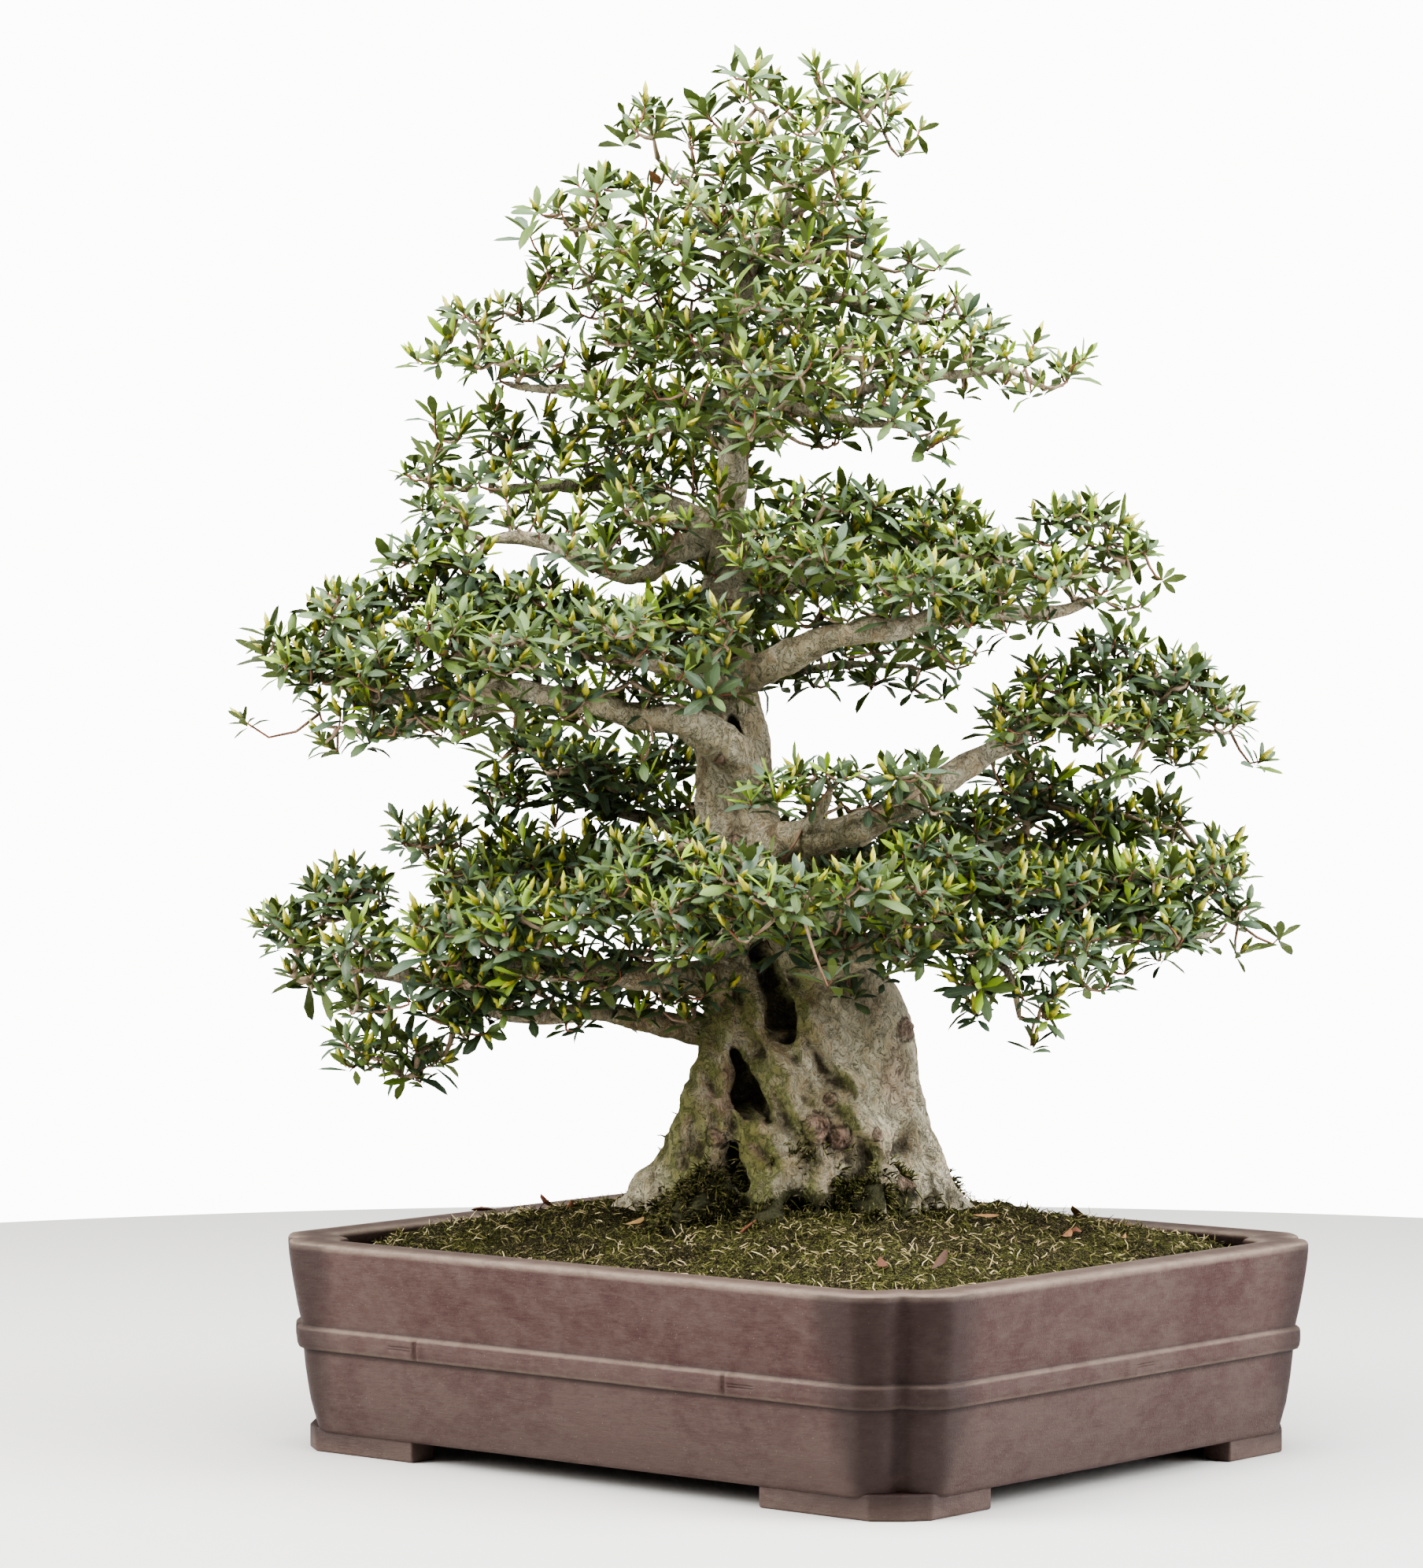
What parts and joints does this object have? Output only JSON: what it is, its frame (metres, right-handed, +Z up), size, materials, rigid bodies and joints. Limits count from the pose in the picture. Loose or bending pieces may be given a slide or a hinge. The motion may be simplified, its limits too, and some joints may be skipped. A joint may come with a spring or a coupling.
{
  "type": "bonsai tree",
  "caption": "Satsuki azalea bonsai with a flared, rooted trunk and leafy branch pads, in a low rectangular clay pot with cut corners, a raised band and corner feet.",
  "frame": {"origin": "middle of the whole object's footprint, at the height of the pot's feet", "axes": "+Z up, X along the pot's long side, Y along its short side"},
  "size_m": [0.5636, 0.5618, 0.9295],
  "materials": {
    "clay": "matte",
    "screen": "matte",
    "soil": "matte",
    "bark": "matte",
    "leaves": "satin"
  },
  "bodies": {
    "root": {"pot": "clay", "drain_screen_left": "screen", "drain_screen_right": "screen", "soil": "soil", "trunk": "bark", "spray_low_left_hang": "leaves", "spray_low_left_top": "leaves", "spray_low_left_main": "leaves", "spray_left_bough": "leaves", "spray_right_bough": "leaves", "spray_right_sweep": "leaves", "spray_low_right_main": "leaves", "spray_left_shelf": "leaves", "spray_left_bough_spur": "leaves", "spray_left_inner": "leaves", "spray_left_arch": "leaves", "spray_left_lift": "leaves", "spray_left_fill": "leaves", "spray_left_reach": "leaves", "spray_left_pocket": "leaves", "spray_left_step": "leaves", "spray_left_high": "leaves", "spray_left_crown": "leaves", "spray_left_spire": "leaves", "spray_apex_left": "leaves", "spray_apex_right": "leaves", "spray_crown_right": "leaves", "spray_right_high": "leaves", "spray_right_shelf": "leaves", "spray_right_wand": "leaves", "spray_right_dip": "leaves", "spray_front_knot": "leaves", "spray_right_mid": "leaves", "spray_right_thread": "leaves", "spray_front_shelf": "leaves", "spray_low_right_top": "leaves", "spray_low_right_drop": "leaves", "spray_front_left": "leaves", "spray_front_mid": "leaves", "spray_front_right": "leaves", "spray_back_low": "leaves", "spray_back_low_left": "leaves", "spray_back_low_right": "leaves", "spray_back_mid": "leaves", "spray_back_mid_left": "leaves", "spray_back_mid_right": "leaves", "spray_back_shoulder": "leaves", "spray_back_upper": "leaves", "spray_back_crown": "leaves"}
  },
  "joints": []
}
